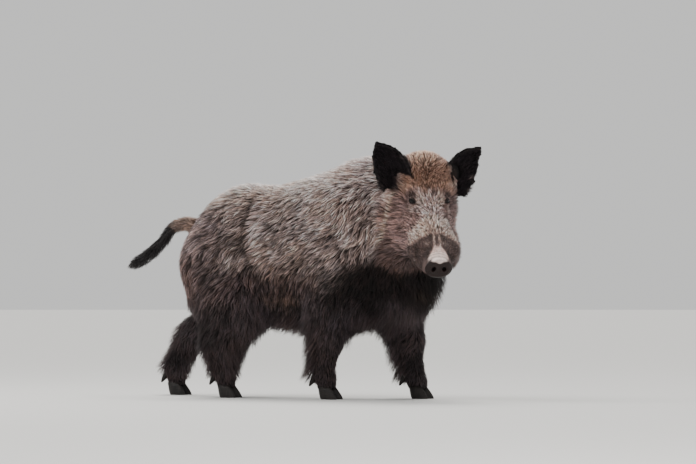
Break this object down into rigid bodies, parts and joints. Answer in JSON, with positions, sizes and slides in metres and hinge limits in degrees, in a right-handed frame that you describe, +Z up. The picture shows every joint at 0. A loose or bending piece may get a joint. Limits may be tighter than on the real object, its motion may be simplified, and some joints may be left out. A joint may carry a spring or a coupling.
{
  "type": "wild boar",
  "caption": "Life-size still model of a walking wild boar in its winter coat: wedge-shaped body, long head turned to its right, upright ears, snout disc, tail with a tassel.",
  "frame": {"origin": "on the floor, under the middle of the whole model's bounding box", "axes": "+X towards the front of the trunk, +Y to the animal's left, +Z up"},
  "size_m": [1.3754, 0.4932, 0.8365],
  "materials": {
    "coat": "coarse dark grey-brown bristle coat with pale tips, black on legs and ears, over grey skin",
    "snout": "bare, moist, finely wrinkled skin, dark reddish brown and pinker along the upper rim",
    "eye": "wet, very dark brown",
    "horn": "dull dark horn, worn paler at the edge of the sole"
  },
  "bodies": {
    "root": {"trunk": "coat", "neck": "coat", "head": "coat", "lower_jaw": "coat", "snout_disc": "snout", "eye_left": "eye", "eye_right": "eye", "ear_left": "coat", "ear_right": "coat", "tail_dock": "coat", "tail_tassel": "coat", "leg_front_left_upper": "coat", "leg_front_left_lower": "coat", "hoof_front_left_inner": "horn", "dewclaw_front_left_inner": "horn", "hoof_front_left_outer": "horn", "dewclaw_front_left_outer": "horn", "leg_front_right_upper": "coat", "leg_front_right_lower": "coat", "hoof_front_right_inner": "horn", "dewclaw_front_right_inner": "horn", "hoof_front_right_outer": "horn", "dewclaw_front_right_outer": "horn", "leg_hind_left_upper": "coat", "leg_hind_left_lower": "coat", "hoof_hind_left_inner": "horn", "dewclaw_hind_left_inner": "horn", "hoof_hind_left_outer": "horn", "dewclaw_hind_left_outer": "horn", "leg_hind_right_upper": "coat", "leg_hind_right_lower": "coat", "hoof_hind_right_inner": "horn", "dewclaw_hind_right_inner": "horn", "hoof_hind_right_outer": "horn", "dewclaw_hind_right_outer": "horn"}
  },
  "joints": []
}
